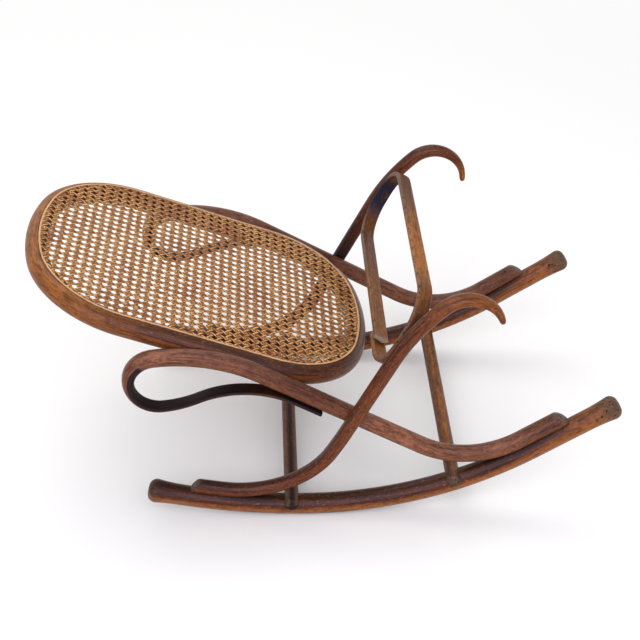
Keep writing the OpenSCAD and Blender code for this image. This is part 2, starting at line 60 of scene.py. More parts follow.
class Walk:
    # keeps the straight and bent stretches of one centre line
    def __init__(self, spot, ahead, out):
        self.spot, self.ahead, self.out = Vector(spot), Vector(ahead).normalized(), Vector(out)
        self.parts, self.length = [], 0

    @classmethod
    def onSide(cls, p, side):
        ahead = (math.cos(p[2]), 0, math.sin(p[2]))
        return cls((p[0], side * rocker["gap"], p[1]), ahead, (0, side, 0))

    def straight(self, length):
        self.parts.append((self.length, length, self.spot.copy(), self.ahead.copy(), None, 0))
        self.spot += self.ahead * length
        self.length += length
        return self

    def bend(self, length, turn, towards):
        towards = (towards - self.ahead * towards.dot(self.ahead)).normalized()
        angle = math.radians(turn)
        radius = length / angle
        self.parts.append((self.length, length, self.spot.copy(), self.ahead.copy(), towards, angle))
        self.spot += (self.ahead * math.sin(angle) + towards * (1 - math.cos(angle))) * radius
        self.ahead = self.ahead * math.cos(angle) + towards * math.sin(angle)
        self.length += length
        return self

    # steps in the member's own side plane, where a left turn is positive
    def steps(self, rows):
        for length, turn in rows:
            if turn == 0:
                self.straight(length)
            else:
                left = Vector((-self.ahead.z, 0, self.ahead.x))
                self.bend(length, abs(turn), left * (1 if turn > 0 else -1))
        return self

    def at(self, run):
        part = [q for q in self.parts if run >= q[0] - 1e-6 or q is self.parts[0]][-1]
        start, length, spot, ahead, towards, angle = part
        if towards is None:
            return spot + ahead * (run - start), ahead
        radius, turned = length / angle, angle * (run - start) / length
        return (spot + (ahead * math.sin(turned) + towards * (1 - math.cos(turned))) * radius,
                ahead * math.cos(turned) + towards * math.sin(turned))


def power(value, exponent):
    return math.copysign(abs(value) ** exponent, value)


def around(value, middle, reach):
    # 1 at the middle, falling smoothly to 0 at its reach
    return max(0, 1 - ((value - middle) / reach) ** 2) ** 2


def patchy(value, spots):
    # the sum of some marks, each given as (strength, middle, reach)
    return sum(strength * around(value, middle, reach) for strength, middle, reach in spots)


def handed(side, name):
    return ("left" if side < 0 else "right") + name


# how every bent piece is drawn: rows over a rounded end, how far other rows keep clear of it, how round
# it is and the least width left there; then the unevenness of hand work, and the angle of a hard edge
drawn = {"endRows": 5, "clear": 1.3, "roundness": 2.4, "least": 0.02,
         "uneven": 0.008, "along": 45, "across": 9, "creaseAbove": 38}


def spread(length, stride, ends):
    # stations along a run, closer together over the rounded ends
    count = max(2, math.ceil(length / stride))
    runs = {round(length * k / count, 4) for k in range(count + 1)}
    runs = {run for run in runs if run in (0, round(length, 4)) or not any(
        (run if atStart else length - run) < size * drawn["clear"] for size, atStart in ends)}
    for size, atStart in ends:
        for k in range(drawn["endRows"] + 1):
            d = size * (1 - math.sin(math.radians(90 * k / drawn["endRows"])))
            runs.add(round(d if atStart else length - d, 4))
    return sorted(runs)


def rounding(d, size):
    # how much of the full width is left at distance d from a rounded end
    if size == 0 or d >= size:
        return 1
    roundness = drawn["roundness"]
    return max(drawn["least"], (1 - (1 - max(0, d) / size) ** roundness) ** (1 / roundness))


def finishMesh(name, bm, creaseAbove=drawn["creaseAbove"]):
    bmesh.ops.recalc_face_normals(bm, faces=bm.faces)
    for face in bm.faces:
        face.smooth = True
    for edge in bm.edges:
        if len(edge.link_faces) == 2 and edge.calc_face_angle(0) > math.radians(creaseAbove):
            edge.smooth = False
    mesh = bpy.data.meshes.new(name)
    bm.to_mesh(mesh)
    bm.free()
    made = bpy.data.objects.new(name, mesh)
    bpy.context.scene.collection.objects.link(made)
    return made


def sweep(name, walk, section, marks, seed, hand=1, segments=40, stride=6, ends=(0, 0), closed=False,
          taper=rounding):
    # section gives (ahead, y, z) for a run and a turn, marks give (wear, grey, stain and painted shade)
    bm = bmesh.new()
    grainLayer, marksLayer, lieLayer = [bm.verts.layers.float_vector.new(kind)
                                        for kind in ("grain", "marks", "lie")]
    ring = bmesh.ops.create_circle(bm, segments=segments, radius=1)["verts"]
    ring.sort(key=lambda v: math.atan2(v.co.y, v.co.x) % (2 * math.pi))
    rounded = [(size, k == 0) for k, size in enumerate(ends) if size and not closed]
    runs = spread(walk.length, stride, rounded)
    if closed:
        runs = runs[:-1]
    first = ring
    for number, run in enumerate(runs):
        if number:
            loop = [bm.edges.get((ring[k - 1], ring[k])) for k in range(segments)]
            made = bmesh.ops.extrude_edge_only(bm, edges=loop)["geom"]
            fresh = {g for g in made if isinstance(g, bmesh.types.BMVert)}
            ring = [next(e.other_vert(v) for e in v.link_edges if e.other_vert(v) in fresh)
                    for v in ring]
        spot, ahead = walk.at(run)
        side = (walk.out - ahead * walk.out.dot(ahead)).normalized()
        up = side.cross(ahead) * hand
        left = 1 if closed else taper(run, ends[0]) * taper(walk.length - run, ends[1])
        for k, v in enumerate(ring):
            a, y, z = [value * left for value in section(run, 2 * math.pi * k / segments)]
            place = Vector((run / drawn["along"], y / drawn["across"], z / drawn["across"] + seed * 7))
            wobble = 1 - drawn["uneven"] * (1 + noise.noise(place))
            v.co = (spot + ahead * a + (up * y + side * z) * wobble) * mm
            v[grainLayer] = Vector(((run + a) * mm + seed, y * mm, z * mm))
            v[marksLayer] = Vector(marks(run, y, z))
            v[lieLayer] = (up * y + side * z).normalized()
    last = [bm.edges.get((ring[k - 1], ring[k])) for k in range(segments)]
    start = [bm.edges.get((first[k - 1], first[k])) for k in range(segments)]
    if closed:
        bmesh.ops.bridge_loops(bm, edges=start + last)
    else:
        for loop in (start, last):
            bmesh.ops.contextual_create(bm, geom=loop)
    return finishMesh(name, bm)


def hang(made, finish, slotName, *nodes):
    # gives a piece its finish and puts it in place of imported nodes
    made.data.materials.append(finish)
    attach(made, "root")
    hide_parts(*nodes)


class Tone:
    # wraps a socket, so that shader maths reads as plain sums and products
    def __init__(self, tree, out=None):
        self.tree, self.out = tree, out

    def node(self, kind, settings=None, inputs=None, output=0):
        made = self.tree.nodes.new(kind)
        for key, value in (settings or {}).items():
            setattr(made, key, value)
        for key, value in (inputs or {}).items():
            if isinstance(value, Tone):
                self.tree.links.new(value.out, made.inputs[key])
            else:
                made.inputs[key].default_value = value
        return Tone(self.tree, made.outputs[output] if made.outputs else None)

    def maths(self, operation, first, second=0.0, clamp=False):
        return self.node("ShaderNodeMath", {"operation": operation, "use_clamp": clamp},
                         {0: first, 1: second})

    def __add__(self, other):
        return self.maths("ADD", self, other)

    def __radd__(self, other):
        return self.maths("ADD", other, self)

    def __sub__(self, other):
        return self.maths("SUBTRACT", self, other)

    def __rsub__(self, other):
        return self.maths("SUBTRACT", other, self)

    def __mul__(self, other):
        return self.maths("MULTIPLY", self, other)

    def __rmul__(self, other):
        return self.maths("MULTIPLY", other, self)

    def clamped(self):
        return self.maths("ADD", self, 0.0, True)

    def between(self, low, high):
        # 0 at low, 1 at high, and smooth in between
        return self.node("ShaderNodeMapRange", {"interpolation_type": "SMOOTHSTEP"},
                         {"Value": self, "From Min": low, "From Max": high})

    def blend(self, factor, first, second):
        return self.node("ShaderNodeMix", {"data_type": "RGBA"}, {0: factor, 6: first, 7: second}, 2)

    def attribute(self, name):
        return self.node("ShaderNodeAttribute", {"attribute_name": name}, None, "Vector")

    def objectPlace(self):
        return self.node("ShaderNodeTexCoord", None, None, "Object")

    def split(self):
        made = self.node("ShaderNodeSeparateXYZ", None, {0: self}).out.node
        return [Tone(self.tree, socket) for socket in made.outputs]

    def speckle(self, size, detail=3, roughness=0.5, stretch=(1, 1, 1), shift=(0, 0, 0)):
        moved = self.node("ShaderNodeMapping", None,
                          {"Vector": self, "Scale": stretch, "Location": shift})
        return self.node("ShaderNodeTexNoise", None,
                         {"Vector": moved, "Scale": size, "Detail": detail, "Roughness": roughness}, 0)

    def surface(self, colour, rough, height, depth, more=None):
        # every finish has the same strength of bump and its own depth
        normal = self.node("ShaderNodeBump", None,
                           {"Strength": 0.3, "Distance": depth, "Height": height})
        shader = self.node("ShaderNodeBsdfPrincipled", None, {
            "Base Color": colour, "Roughness": rough.clamped(), "Normal": normal, **(more or {})})
        self.node("ShaderNodeOutputMaterial", None, {"Surface": shader})


def newMaterial(name):
    made = bpy.data.materials.new(name)
    made.use_nodes = True
    made.node_tree.nodes.clear()
    return made, Tone(made.node_tree)


def tint(red, green, blue):
    return (red, green, blue, 1)


# in each look, the warm underside colour is partly the wood's own tone and partly painted bounce light,
# and the top colour is painted shade
woodLooks = {
    "darkBentwood": {
        "deep": tint(0.014, 0.0025, 0.0008), "body": tint(0.090, 0.016, 0.0030),
        "bounceLitWarm": tint(0.350, 0.115, 0.024), "top": tint(0.040, 0.013, 0.0022),
        "worn": tint(0.36, 0.125, 0.028), "stainAndShade": tint(0.010, 0.003, 0.002),
        "grey": tint(0.066, 0.050, 0.032),
        "rough": 0.17, "bounceLitWarmShare": 0.9, "topShare": 0.85, "wornShare": 0.12},
    "redBentwood": {
        "deep": tint(0.014, 0.003, 0.001), "body": tint(0.125, 0.030, 0.0052),
        "bounceLitWarm": tint(0.190, 0.043, 0.006), "top": tint(0.048, 0.013, 0.0018),
        "worn": tint(0.30, 0.092, 0.016), "stainAndShade": tint(0.010, 0.002, 0.002),
        "grey": tint(0.060, 0.046, 0.030),
        "rough": 0.19, "bounceLitWarmShare": 0.7, "topShare": 0.7, "wornShare": 0.08},
    "brownBentwood": {
        "deep": tint(0.022, 0.005, 0.0015), "body": tint(0.135, 0.034, 0.0080),
        "bounceLitWarm": tint(0.245, 0.074, 0.014), "top": tint(0.064, 0.022, 0.0035),
        "worn": tint(0.320, 0.108, 0.018), "stainAndShade": tint(0.006, 0.002, 0.002),
        "grey": tint(0.095, 0.074, 0.050),
        "rough": 0.19, "bounceLitWarmShare": 0.55, "topShare": 0.7, "wornShare": 0.15},
    # the rose look's pinkish worn colour is partly rubbed varnish and partly painted sheen
    "roseBentwood": {
        "deep": tint(0.022, 0.006, 0.003), "body": tint(0.128, 0.036, 0.0125),
        "bounceLitWarm": tint(0.250, 0.088, 0.032), "top": tint(0.085, 0.033, 0.013),
        "worn": tint(0.350, 0.140, 0.078), "stainAndShade": tint(0.006, 0.002, 0.002),
        "grey": tint(0.095, 0.074, 0.050),
        "rough": 0.19, "bounceLitWarmShare": 0.45, "topShare": 0.6, "wornShare": 0.15},
    "wornBentwood": {
        "deep": tint(0.040, 0.013, 0.003), "body": tint(0.120, 0.037, 0.007),
        "bounceLitWarm": tint(0.165, 0.048, 0.007), "top": tint(0.105, 0.038, 0.007),
        "worn": tint(0.370, 0.128, 0.016), "stainAndShade": tint(0.008, 0.010, 0.024),
        "grey": tint(0.260, 0.190, 0.135),
        "rough": 0.32, "bounceLitWarmShare": 0.4, "topShare": 0.3, "wornShare": 0.25},
}
# patterns in the wood: detail, roughness, stretch along and across the grain, and shift
woodPatterns = {
    "streaks": (5, 0.6, (16, 520, 520), (0, 0, 0)), "cracks": (3, 0.5, (9, 260, 260), (5, 5, 8)),
    "pores": (3, 0.6, (110, 620, 620), (3, 1, 2)), "clouds": (4, 0.55, (12, 40, 40), (7, 3, 1)),
    "patches": (5, 0.7, (38, 90, 90), (1, 9, 4)), "flecks": (2, 0.5, (200, 520, 520), (8, 8, 2)),
    "mottle": (2, 0.6, (95, 240, 240), (2, 6, 6)), "holes": (0, 0.5, (230, 260, 260), (6, 1, 7)),
}
varnish = {"specular": 0.26, "gloss": tint(1.0, 0.80, 0.90), "depth": 0.0014,
           "fleck": tint(0.42, 0.21, 0.11), "hole": tint(0.006, 0.003, 0.002)}


def woodMaterial(name, look):
    made, tone = newMaterial(name)
    grain, marks, lie = [tone.attribute(kind) for kind in ("grain", "marks", "lie")]
    wear, grey, stainAndShade = marks.split()
    upness = lie.split()[2]
    streaks, cracks, pores, clouds, patches, flecks, mottle, holes = [
        grain.speckle(1, *pattern) for pattern in woodPatterns.values()]
    colour = tone.blend(streaks.between(0.32, 0.62), look["deep"], look["body"])
    # painted light: a warm underside that is partly the wood's own tone and partly painted bounce light
    # from below, a top painted darker as shade, and paler where it is rubbed
    underside = (upness + 0.35 * (clouds - 0.5)).between(0.42, -0.15) * look["bounceLitWarmShare"]
    colour = tone.blend((underside * streaks.between(0.22, 0.5)).clamped(), colour, look["bounceLitWarm"])
    topside = (upness + 0.3 * (patches - 0.5)).between(0.5, 0.9) * look["topShare"]
    colour = tone.blend(topside.clamped(), colour, look["top"])
    rubbed = (wear * 1.3 * (0.45 + patches.between(0.36, 0.62) * 0.55)
              + patches.between(0.56, 0.72) * look["wornShare"]).clamped()
    colour = tone.blend(rubbed * streaks.between(0.22, 0.48), colour, look["worn"])
    # dark mottle, painted shade along the lowest part, cracks and pores
    shadeAlongBottom = (upness + 0.2 * (patches - 0.5)).between(-0.42, -0.85)
    split = cracks.between(0.60, 0.66)
    for dark in (mottle.between(0.52, 0.36) * 0.45, shadeAlongBottom * 0.7, split * 0.6,
                 pores.between(0.55, 0.66) * 0.6):
        colour = tone.blend(dark, colour, look["deep"])
    # grey ends, stains and painted shade, pale flecks, and small holes in the grey
    colour = tone.blend((grey * (0.25 + 1.1 * mottle)).clamped(), colour, look["grey"])
    colour = tone.blend((stainAndShade * 1.4 * patches.between(0.26, 0.42)).clamped(), colour, look["stainAndShade"])
    pale = (flecks.between(0.60, 0.72) * (0.3 - 0.4 * stainAndShade)).clamped()
    colour = tone.blend(pale, colour, varnish["fleck"])
    colour = tone.blend(holes.between(0.70, 0.73) * grey.between(0.01, 0.12), colour, varnish["hole"])
    rough = look["rough"] + 0.14 * clouds + 0.14 * wear + 0.2 * grey + 0.06 * flecks + 0.3 * stainAndShade
    height = streaks * 0.3 + pores * 0.5 + mottle * 0.5 + patches * 0.6 - split * 0.4
    tone.surface(colour, rough, height, varnish["depth"],
                 {"Specular IOR Level": varnish["specular"], "Specular Tint": varnish["gloss"]})
    return made


finishes = {name: woodMaterial(name, look) for name, look in woodLooks.items()}
print("wood finishes made")


# marks with a place are (strength, middle, reach) along the piece, in millimetres
rocker = {"gap": 192, "front": -224.8, "thick": 29, "knob": 34, "knobShy": 0.4, "rim": 11, "lift": 0.05,
          "swell": 32, "swellReach": 0.98, "swellCurve": 2.5, "fullBelow": 0.98, "fullAbove": 0.8,
          "steps": [(215.2, 15.4), (318.6, 33.2), (114.1, 0)],
          "rubbed": [(0.6, 190, 200), (0.35, 420, 180)], "rubbedRear": [(0.5, 40, 110)],
          "greyEnds": [(0.75, 0, 14)], "greyRear": [(0.8, 6, 34)], "darkFront": [(0.35, 20, 60)],
          "shadowByLeg": [(0.6, 142, 75)], "shadowByRail": [(0.6, 140, 105)], "most": (0.9, 0.85),
          "underside": -2, "topside": 2, "crown": 9}

tipTurn = math.radians(rocker["steps"][0][1])
tipDrop = rocker["steps"][0][0] / tipTurn * (1 - math.cos(tipTurn))
rockerTip = (rocker["front"], rocker["thick"] / 2 + rocker["lift"] + tipDrop, -tipTurn)
rockerKnee = afterStep(rockerTip, rocker["steps"][0])
rockerRear = afterStep(afterStep(rockerKnee, rocker["steps"][1]), rocker["steps"][2])


def makeRocker(side):
    nose = rocker["knob"] / 2 - rocker["knobShy"]
    walk = Walk.onSide(shifted(rockerTip, -nose, 0), side)
    walk.straight(nose).steps(rocker["steps"]).straight(nose)
    total, rim = walk.length, rocker["rim"]

    def section(run, turn):
        # a slow swelling, fullest on the lower side, and a rounded rim
        d = min(run, total - run)
        share = min(1, max(0, 1 - (d - rim) / (rocker["swell"] + rim) * rocker["swellReach"]))
        swell = (rocker["knob"] - rocker["thick"]) / 2 * share ** rocker["swellCurve"]
        full = rocker["fullBelow"] if math.cos(turn) < 0 else rocker["fullAbove"]
        r = rocker["thick"] / 2
        r += swell * (full * math.cos(turn) ** 2 + rocker["fullAbove"] * math.sin(turn) ** 2)
        if d < rim:
            r -= rim * (1 - math.sqrt(1 - (1 - d / rim) ** 2))
        return 0, r * math.cos(turn), r * math.sin(turn)

    def marks(run, y, z):
        rest = total - run
        wear = patchy(run, rocker["rubbed"]) * (y < rocker["underside"])
        wear += patchy(rest, rocker["rubbedRear"])
        grey = patchy(min(run, rest), rocker["greyEnds"]) + patchy(rest, rocker["greyRear"])
        # painted shadow: the rocker's top is darkened where the leg and rail feet shade it
        footShadow = patchy(run, rocker["shadowByLeg"]) + patchy(rest, rocker["shadowByRail"])
        dark = patchy(run, rocker["darkFront"]) * (y > rocker["topside"])
        dark += footShadow * (y > rocker["crown"])
        return (min(wear, rocker["most"][0]), min(grey, rocker["most"][1]), dark)

    # the section rounds its own ends, so the sweep doesn't taper them
    made = sweep(handed(side, "RockerWood"), walk, section, marks, seed=1.0 + side * 0.3, hand=-side,
                 segments=44, ends=(rim, rim), taper=lambda d, size: 1)
    hang(made, finishes["darkBentwood"], "bentwood_dark", handed(side, "_rocker"))


# seat rails, each with a scroll that thins to a strap
rail = {"thick": 24, "back": 44, "lap": 1.7, "slant": 30, "slantFor": 45, "curl": 39, "lead": 4,
        "steps": [(80.4, 0), (141.4, -63.3), (246.6, 0), (141, 35.2)],
        "strap": 6, "strapWide": 23, "rise": 150, "lay": 138, "strapLap": 42, "bite": 0.25,
        "squareInside": 0.62, "squareOutside": 0.42, "squareEdge": 0.3,
        # the rubbed slope is partly wear and partly painted sheen
        "rubbed": [(0.25, 520, 120)], "wearAndSheenSlope": [(0.7, 240, 130), (0.35, 90, 80)], "farShare": 0.5,
        "rubbedCurl": [(0.4, 0, 60)], "greyFoot": [(0.75, 0, 4), (0.15, 0, 36)],
        "darkAt": 0.9, "darkInside": [(1, 0, 300)], "darkFrom": 20, "darkEnd": [(1, 0, 80)],
        "ends": (5, 1.5)}

railOff = rocker["thick"] / 2 + rail["thick"] / 2 - 2 * rail["lap"]
railTip = shifted(rockerRear, -rail["back"], railOff)
railTip = (railTip[0], railTip[1], railTip[2] + math.pi)
railMid = afterStep(afterStep(railTip, rail["steps"][0]), rail["steps"][1])
railBend = afterStep(railMid, rail["steps"][2])
railEnd = shifted(afterStep(railBend, rail["steps"][3]), rail["lead"], 0)
# the strap rises and lies down again, so that its end runs along the rail's underside
strapStart = shifted(railEnd, 0, 2 * rail["curl"])
strapHeading = railMid[2] - math.pi
strapOff = rail["thick"] / 2 - rail["bite"] + rail["strap"] / 2
strapFall = ((railMid[1] - strapStart[1]) * math.cos(strapHeading)
             - (railMid[0] - strapStart[0]) * math.sin(strapHeading) - strapOff)
strapLead = strapStart[2] - math.pi - strapHeading
strapPeak = math.acos((rail["rise"] * math.cos(strapLead) + rail["lay"] - strapFall)
                      / (rail["rise"] + rail["lay"]))


def makeRail(side):
    half = rail["thick"] / 2
    walk = Walk.onSide(shifted(railTip, half, 0), side)
    walk.straight(rail["steps"][0][0] - half).steps(rail["steps"][1:]).straight(rail["lead"])
    curlAt, curlLong = walk.length, math.pi * rail["curl"]
    rise = strapPeak - strapLead
    walk.steps([(curlLong, 180), (rail["rise"] * rise, math.degrees(rise)),
                (rail["lay"] * strapPeak, -math.degrees(strapPeak)), (rail["strapLap"], 0)])
    total = walk.length
    slant = math.tan(math.radians(rail["slant"]))

    def section(run, turn):
        # round up to the scroll, then slowly flatter
        shape = 0 if run < curlAt else (1 - math.cos(min(1, (run - curlAt) / curlLong) * math.pi)) / 2
        thin = half - (half - rail["strap"] / 2) * shape
        wide = half + (rail["strapWide"] / 2 - half) * shape
        flat = 1 - shape * (rail["squareInside"] if math.cos(turn) > 0 else rail["squareOutside"])
        y = thin * power(math.cos(turn), flat)
        z = wide * power(math.sin(turn), 1 - rail["squareEdge"] * shape)
        return -y * slant * max(0, 1 - run / rail["slantFor"]), y, z

    def marks(run, y, z):
        wear = patchy(run, rail["rubbed"]) + patchy(run - curlAt, rail["rubbedCurl"])
        # wear on the slope, partly painted sheen
        wear += patchy(run, rail["wearAndSheenSlope"]) * (1 if side < 0 else rail["farShare"])
        # painted shade: the scroll is darkest near its end, on the inside only, and the strap's end is
        # dark too
        dark = patchy(run - curlAt - rail["darkAt"] * curlLong, rail["darkInside"])
        dark *= (y > 0) * (run > curlAt + rail["darkFrom"])
        dark += patchy(total - run, rail["darkEnd"])
        return (wear, patchy(run, rail["greyFoot"]), min(1, dark))

    made = sweep(handed(side, "RailWood"), walk, section, marks, seed=3.0 + side * 0.3, hand=-side,
                 segments=44, ends=rail["ends"])
    hang(made, finishes["roseBentwood"], "bentwood_brown", handed(side, "_seat_rail"))


# hooked legs, which lean outwards past the rails; the left hook is worn shorter
leg = {"thick": 20, "splay": 16.5, "start": 34.4, "foot": 47.4, "lap": 2.1, "slant": 35, "slantFor": 45,
       "arc": (181.8, 73.6), "sideBend": 330, "straight": 127.4, "slack": (100.6, 20.7),
       "hook": 46.2, "hookTurn": 138.7, "wornTurn": 120, "tip": 8, "tipWide": 12,
       "tipSquare": 0.25, "tipCurve": 1.5, "rubbedTip": [(0.95, 0, 44)], "rubbedHook": [(0.7, 40, 110)],
       "rubbedRise": [(0.15, 300, 120)], "greyFoot": [(0.75, 0, 4), (0.2, 0, 30)],
       "darkFoot": [(0.3, 30, 70)], "darkRise": [(0.8, 250, 170)], "most": 0.95,
       "outside": 4, "underHook": -7, "topside": 3, "ends": (2.5, 7)}

legOff = rocker["thick"] / 2 + leg["thick"] / 2 - 2 * leg["lap"]
legSeat = afterStep(rockerTip, partOf(rocker["steps"][0], leg["start"] + leg["foot"] / 2))
legTip = shifted(legSeat, -leg["foot"] / 2, legOff)
# the lean that carries the leg outwards by its splay, over the arc and the side bend
arcTurn = math.radians(leg["arc"][1])
arcRadius = leg["arc"][0] / arcTurn
reach = arcRadius * (1 - math.cos(arcTurn))
need = leg["sideBend"] - leg["splay"]
square = reach ** 2 + (leg["sideBend"] * math.sin(arcTurn)) ** 2
inner = (reach * need) ** 2 - square * (need ** 2 - leg["sideBend"] ** 2)
leanSin = (math.sqrt(inner) - reach * need) / square
legLean = math.asin(leanSin)
sideTurn = math.asin(math.sin(arcTurn) * leanSin)
legRise = math.atan2(math.sin(arcTurn) * math.cos(legLean), math.cos(arcTurn))
legFoot = afterStep(legTip, (leg["foot"], 0))
ankle = shifted(legFoot, arcRadius * math.sin(arcTurn), reach * math.cos(legLean))
ankle = (ankle[0], ankle[1], ankle[2] + legRise)
knee = shifted(ankle, leg["sideBend"] * math.sin(sideTurn), 0)


def makeLeg(side):
    half = leg["thick"] / 2
    walk = Walk.onSide(shifted(legTip, half, 0), side).straight(leg["foot"] - half)
    up = Vector((-walk.ahead.z, 0, walk.ahead.x))
    walk.bend(*leg["arc"], up * math.cos(legLean) + walk.out * math.sin(legLean))
    final = Vector((math.cos(ankle[2]), 0, math.sin(ankle[2])))
    walk.bend(leg["sideBend"] * sideTurn, math.degrees(sideTurn), final)
    walk.ahead = final
    walk.steps([(leg["straight"], 0), (leg["slack"][0], -leg["slack"][1])])
    hookAt = walk.length
    hookTurn = leg["wornTurn"] if side < 0 else leg["hookTurn"]
    bend = math.radians(hookTurn)
    hookLong = leg["hook"] * bend
    walk.steps([(hookLong, -hookTurn)])
    slant = math.tan(math.radians(leg["slant"]))
    total = walk.length

    def section(run, turn):
        # round up to the hook, then slowly thinner towards its tip
        share = max(0, (run - hookAt) / hookLong)
        shape = (1 - math.cos(share * bend)) / (1 - math.cos(bend))
        thin = half - (half - leg["tip"] / 2) * shape
        wide = half - (half - leg["tipWide"] / 2) * shape ** leg["tipCurve"]
        flat = 1 - leg["tipSquare"] * shape
        y, z = thin * power(math.cos(turn), flat), wide * power(math.sin(turn), flat)
        return y * slant * max(0, 1 - run / leg["slantFor"]), y, z

    def marks(run, y, z):
        wear, grey = patchy(total - run, leg["rubbedTip"]), patchy(run, leg["greyFoot"])
        if side > 0:
            return (wear, grey, patchy(run, leg["darkRise"]) * (z < leg["outside"]))
        wear += patchy(total - run, leg["rubbedHook"]) * (y > leg["underHook"])
        wear += patchy(run, leg["rubbedRise"])
        return (min(wear, leg["most"]), grey, patchy(run, leg["darkFoot"]) * (y > leg["topside"]))

    made = sweep(handed(side, "LegWood"), walk, section, marks, seed=5.0 + side * 0.3, hand=-side,
                 ends=leg["ends"])
    hang(made, finishes["redBentwood"], "bentwood_dark", handed(side, "_hook_leg"))


# rungs: painted light along the top of each; the front one, painted dark as shade, has a dark band
# between flanks painted paler as highlight, and the rear one a painted pale highlight band
rung = {"thick": 20, "past": 18, "rise": 10, "rubbed": (200, 260), "band": (1, 6), "flank": 0.8,
        "bandHighlight": 0.35, "bandLight": 0.9, "greyEnds": [(0.75, 0, 13)], "ends": (4, 4),
        "front": {"at": 183.3, "seed": 7.1, "wear": 0.15, "dark": 0.7, "paleBand": False},
        "rear": {"at": 200, "seed": 8.3, "wear": 0.65, "dark": 0.2, "paleBand": True}}


def makeRung(which, before, step):
    look = rung[which]
    spot = shifted(afterStep(before, partOf(step, look["at"])), 0, rung["rise"])
    half, radius = rocker["gap"] + rung["past"], rung["thick"] / 2
    walk = Walk((spot[0], -half, spot[1]), (0, 1, 0), (1, 0, 0)).straight(2 * half)

    def section(run, turn):
        return 0, radius * math.cos(turn), radius * math.sin(turn)

    def marks(run, y, z):
        # painted highlight: the pale band or flanks along the top go into the wear, and the dark is
        # painted shade, lighter under that highlight
        band = around(z, *rung["band"]) * (y < 0)
        pale = band if look["paleBand"] else rung["flank"] * (1 - band) * (y < 0)
        wear = look["wear"] * around(run, *rung["rubbed"]) + rung["bandHighlight"] * pale
        grey = patchy(min(run, 2 * half - run), rung["greyEnds"])
        return (wear, grey, look["dark"] * (1 - rung["bandLight"] * pale))

    made = sweep(which + "RungWood", walk, section, marks, look["seed"], hand=-1, segments=36, stride=9,
                 ends=rung["ends"])
    hang(made, finishes["brownBentwood"], "bentwood_brown", which + "_rung")


# seat ring, worked out flat and then laid in place
seat = {"long": 466.6, "slope": 20.83, "thick": 31, "bite": 2.8, "corner": 125, "end": 305,
        "holdAt": 43, "ahead": 47, "below": 4.4, "ledge": 1.4, "wallShy": 0.1,
        "rubbedFront": [(0.85, 0, 190)], "insideShare": 0.4, "rubbedMiddle": [(0.25, 40, 160)],
        "darkTop": [(0.165, 120, 240)], "inner": 2, "paleBelow": 4, "darkOutside": 4, "crest": 6}

seatHold = afterStep(railBend, partOf(rail["steps"][3], seat["holdAt"]))
slope = math.radians(seat["slope"])
ringMid = shifted((seatHold[0], seatHold[1], -slope), -seat["ahead"], -seat["below"])
halfWide = rocker["gap"] - rail["thick"] / 2 - seat["thick"] / 2 + seat["bite"]
halfLong = seat["long"] / 2
cornerY, endX = halfWide - seat["corner"], halfLong - seat["end"]
endSpan = math.asin(cornerY / (seat["end"] - seat["corner"]))
cornerX = endX + (seat["end"] - seat["corner"]) * math.cos(endSpan)
ledgeUp = seat["thick"] / 2 - seat["ledge"]
seatPlace = Matrix.Translation(Vector((ringMid[0], 0, ringMid[1]))) @ Matrix.Rotation(slope, 4, "Y")


def seatWalk():
    # one round of the ring's centre line
    alongUp = seatPlace.to_3x3() @ Vector((0, 0, 1))
    start = seatPlace @ Vector((-cornerX, -halfWide, 0))
    walk = Walk(start, seatPlace.to_3x3() @ Vector((1, 0, 0)), alongUp)
    corner = (seat["corner"], 90 - math.degrees(endSpan))
    end = (seat["end"], 2 * math.degrees(endSpan))
    for _ in range(2):
        walk.straight(2 * cornerX)
        for radius, turn in (corner, end, corner):
            walk.bend(radius * math.radians(turn), turn, alongUp.cross(walk.ahead))
    return walk


def makeRing():
    walk = seatWalk()
    radius = seat["thick"] / 2
    wall = binder["wide"] / 2 + binder["room"]

    def section(run, turn):
        # y points to the seat's middle and z up from the seat
        y, z = radius * math.cos(turn), radius * math.sin(turn)
        if z > ledgeUp:
            # the cane lies on a flat ledge, and outside the binding strip the rod is round
            z = ledgeUp if y > -wall else math.sqrt(radius ** 2 - y ** 2) - seat["wallShy"]
        return 0, y, z

    def marks(run, y, z):
        spot = seatPlace.inverted() @ walk.at(run)[0]
        wear = patchy(spot.x + halfLong, seat["rubbedFront"])
        wear *= 1 if y < seat["inner"] else seat["insideShare"]
        wear += patchy(spot.x, seat["rubbedMiddle"]) * (z < seat["paleBelow"])
        dark = patchy(spot.x, seat["darkTop"]) * (spot.y < 0)
        return (wear, 0, dark * (y < seat["darkOutside"]) * (z > seat["crest"]))

    made = sweep("seatRingWood", walk, section, marks, seed=9.4, segments=72, closed=True)
    hang(made, finishes["brownBentwood"], "bentwood_brown", "seat_ring")


# brace hoop, a flat strap whose ends lap on the left
hoop = {"wide": 20.3, "thick": 8, "long": 120, "corner": 48, "at": 156, "lap": 44, "off": 3.5,
        "bite": 0.5, "trim": 16, "slant": 1.3, "slantFor": 40, "faceRound": 0.42, "edgeRound": 0.36,
        "rubbedUpper": [(1.1, -50, 160)], "rubbedLower": [(0.4, -40, 170)], "stained": [(1, 0, 52)],
        "greyStart": [(1.3, 0, 14)], "greyEnd": [(0.8, 0, 6)], "greyEdge": 0.3, "edge": 1.2,
        "ends": (1.5, 1.5)}

hoopHalf = rocker["gap"] + leg["splay"] - leg["thick"] / 2 + hoop["bite"]
hoopMid = shifted(knee, hoop["at"], -hoop["off"])


